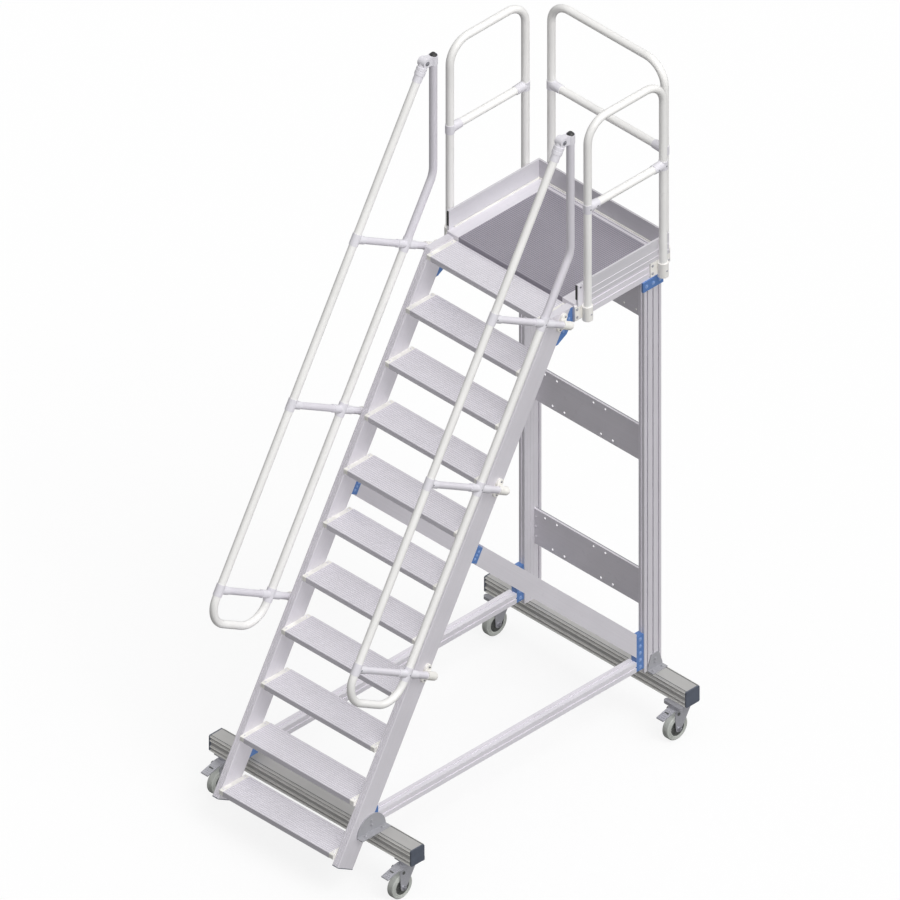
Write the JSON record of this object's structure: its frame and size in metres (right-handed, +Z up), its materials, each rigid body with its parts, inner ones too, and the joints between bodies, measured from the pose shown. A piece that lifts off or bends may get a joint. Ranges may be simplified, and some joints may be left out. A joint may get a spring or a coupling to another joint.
{
  "type": "mobile platform stairs",
  "caption": "Steep aluminium stair flight rising to a guarded work platform on a rolling base frame with swivel castors, bent tube handrails and toe boards.",
  "frame": {"origin": "on the floor, at the middle of the stairs' outline seen from above", "axes": "X across the stairs, Y from the foot of the flight to the platform, Z up"},
  "size_m": [1.35, 2.2497, 3.715],
  "materials": {
    "ivory_tube": "satin",
    "mill_aluminium": "satin anodised",
    "deck_aluminium": "ribbed",
    "beam_aluminium": "satin anodised",
    "post_tube": "satin anodised",
    "slate_plastic": "matte",
    "black_plastic": "matte",
    "white_cap": "satin",
    "blue_bracket": "satin",
    "grey_casting": "satin",
    "fitting": "cast",
    "castor_steel": "zinc plated",
    "tyre": "matte",
    "hub": "matte"
  },
  "bodies": {
    "frame": {"beam_end_caps": "slate_plastic", "beam_feet": "grey_casting", "castor_plates": "castor_steel", "diagonal_braces": "mill_aluminium", "front_beam": "beam_aluminium", "guard_clamps": "fitting", "guard_hoop_left": "ivory_tube", "guard_hoop_rear": "ivory_tube", "guard_hoop_right": "ivory_tube", "guard_mid_rails": "ivory_tube", "guard_tees": "fitting", "handrail_elbows": "fitting", "handrail_fittings": "fitting", "handrail_left": "ivory_tube", "handrail_plugs": "black_plastic", "handrail_post_left": "post_tube", "handrail_post_right": "post_tube", "handrail_right": "ivory_tube", "handrail_standoffs": "ivory_tube", "platform_beam_left": "beam_aluminium", "platform_beam_rear": "beam_aluminium", "platform_beam_right": "beam_aluminium", "platform_bearers": "mill_aluminium", "platform_deck": "deck_aluminium", "platform_end_caps": "black_plastic", "post_brackets": "blue_bracket", "rear_beam": "beam_aluminium", "rear_panels": "mill_aluminium", "rear_post_left": "mill_aluminium", "rear_post_right": "mill_aluminium", "standoff_clamps": "white_cap", "stringer_brackets": "blue_bracket", "stringer_end_plugs": "slate_plastic", "stringer_left": "mill_aluminium", "stringer_right": "mill_aluminium", "tie_rails": "mill_aluminium", "toe_board_left": "mill_aluminium", "toe_board_rear": "mill_aluminium", "toe_board_right": "mill_aluminium", "tread_end_caps": "white_cap", "treads": "mill_aluminium"},
    "castor_front_left": {"castor_fork_front_left": "castor_steel", "castor_pedal_front_left": "castor_steel"},
    "wheel_front_left": {"castor_tyre_front_left": "tyre", "castor_hub_front_left": "hub"},
    "castor_front_right": {"castor_fork_front_right": "castor_steel", "castor_pedal_front_right": "castor_steel"},
    "wheel_front_right": {"castor_tyre_front_right": "tyre", "castor_hub_front_right": "hub"},
    "castor_rear_left": {"castor_fork_rear_left": "castor_steel", "castor_pedal_rear_left": "castor_steel"},
    "wheel_rear_left": {"castor_tyre_rear_left": "tyre", "castor_hub_rear_left": "hub"},
    "castor_rear_right": {"castor_fork_rear_right": "castor_steel", "castor_pedal_rear_right": "castor_steel"},
    "wheel_rear_right": {"castor_tyre_rear_right": "tyre", "castor_hub_rear_right": "hub"}
  },
  "joints": [
    {"name": "swivel_front_left", "type": "hinge", "parent": "frame", "child": "castor_front_left", "pos_m": [-0.602, -0.84592, 0.19], "axis": [0, 0, 1], "continuous": true},
    {"name": "roll_front_left", "type": "hinge", "parent": "castor_front_left", "child": "wheel_front_left", "pos_m": [-0.602, -0.89392, 0.068], "axis": [1, 0, 0], "continuous": true},
    {"name": "swivel_front_right", "type": "hinge", "parent": "frame", "child": "castor_front_right", "pos_m": [0.602, -0.84592, 0.19], "axis": [0, 0, 1], "continuous": true},
    {"name": "roll_front_right", "type": "hinge", "parent": "castor_front_right", "child": "wheel_front_right", "pos_m": [0.602, -0.89392, 0.068], "axis": [1, 0, 0], "continuous": true},
    {"name": "swivel_rear_left", "type": "hinge", "parent": "frame", "child": "castor_rear_left", "pos_m": [-0.602, 0.99072, 0.19], "axis": [0, 0, 1], "continuous": true},
    {"name": "roll_rear_left", "type": "hinge", "parent": "castor_rear_left", "child": "wheel_rear_left", "pos_m": [-0.602, 0.94272, 0.068], "axis": [1, 0, 0], "continuous": true},
    {"name": "swivel_rear_right", "type": "hinge", "parent": "frame", "child": "castor_rear_right", "pos_m": [0.602, 0.99072, 0.19], "axis": [0, 0, 1], "continuous": true},
    {"name": "roll_rear_right", "type": "hinge", "parent": "castor_rear_right", "child": "wheel_rear_right", "pos_m": [0.602, 0.94272, 0.068], "axis": [1, 0, 0], "continuous": true}
  ]
}
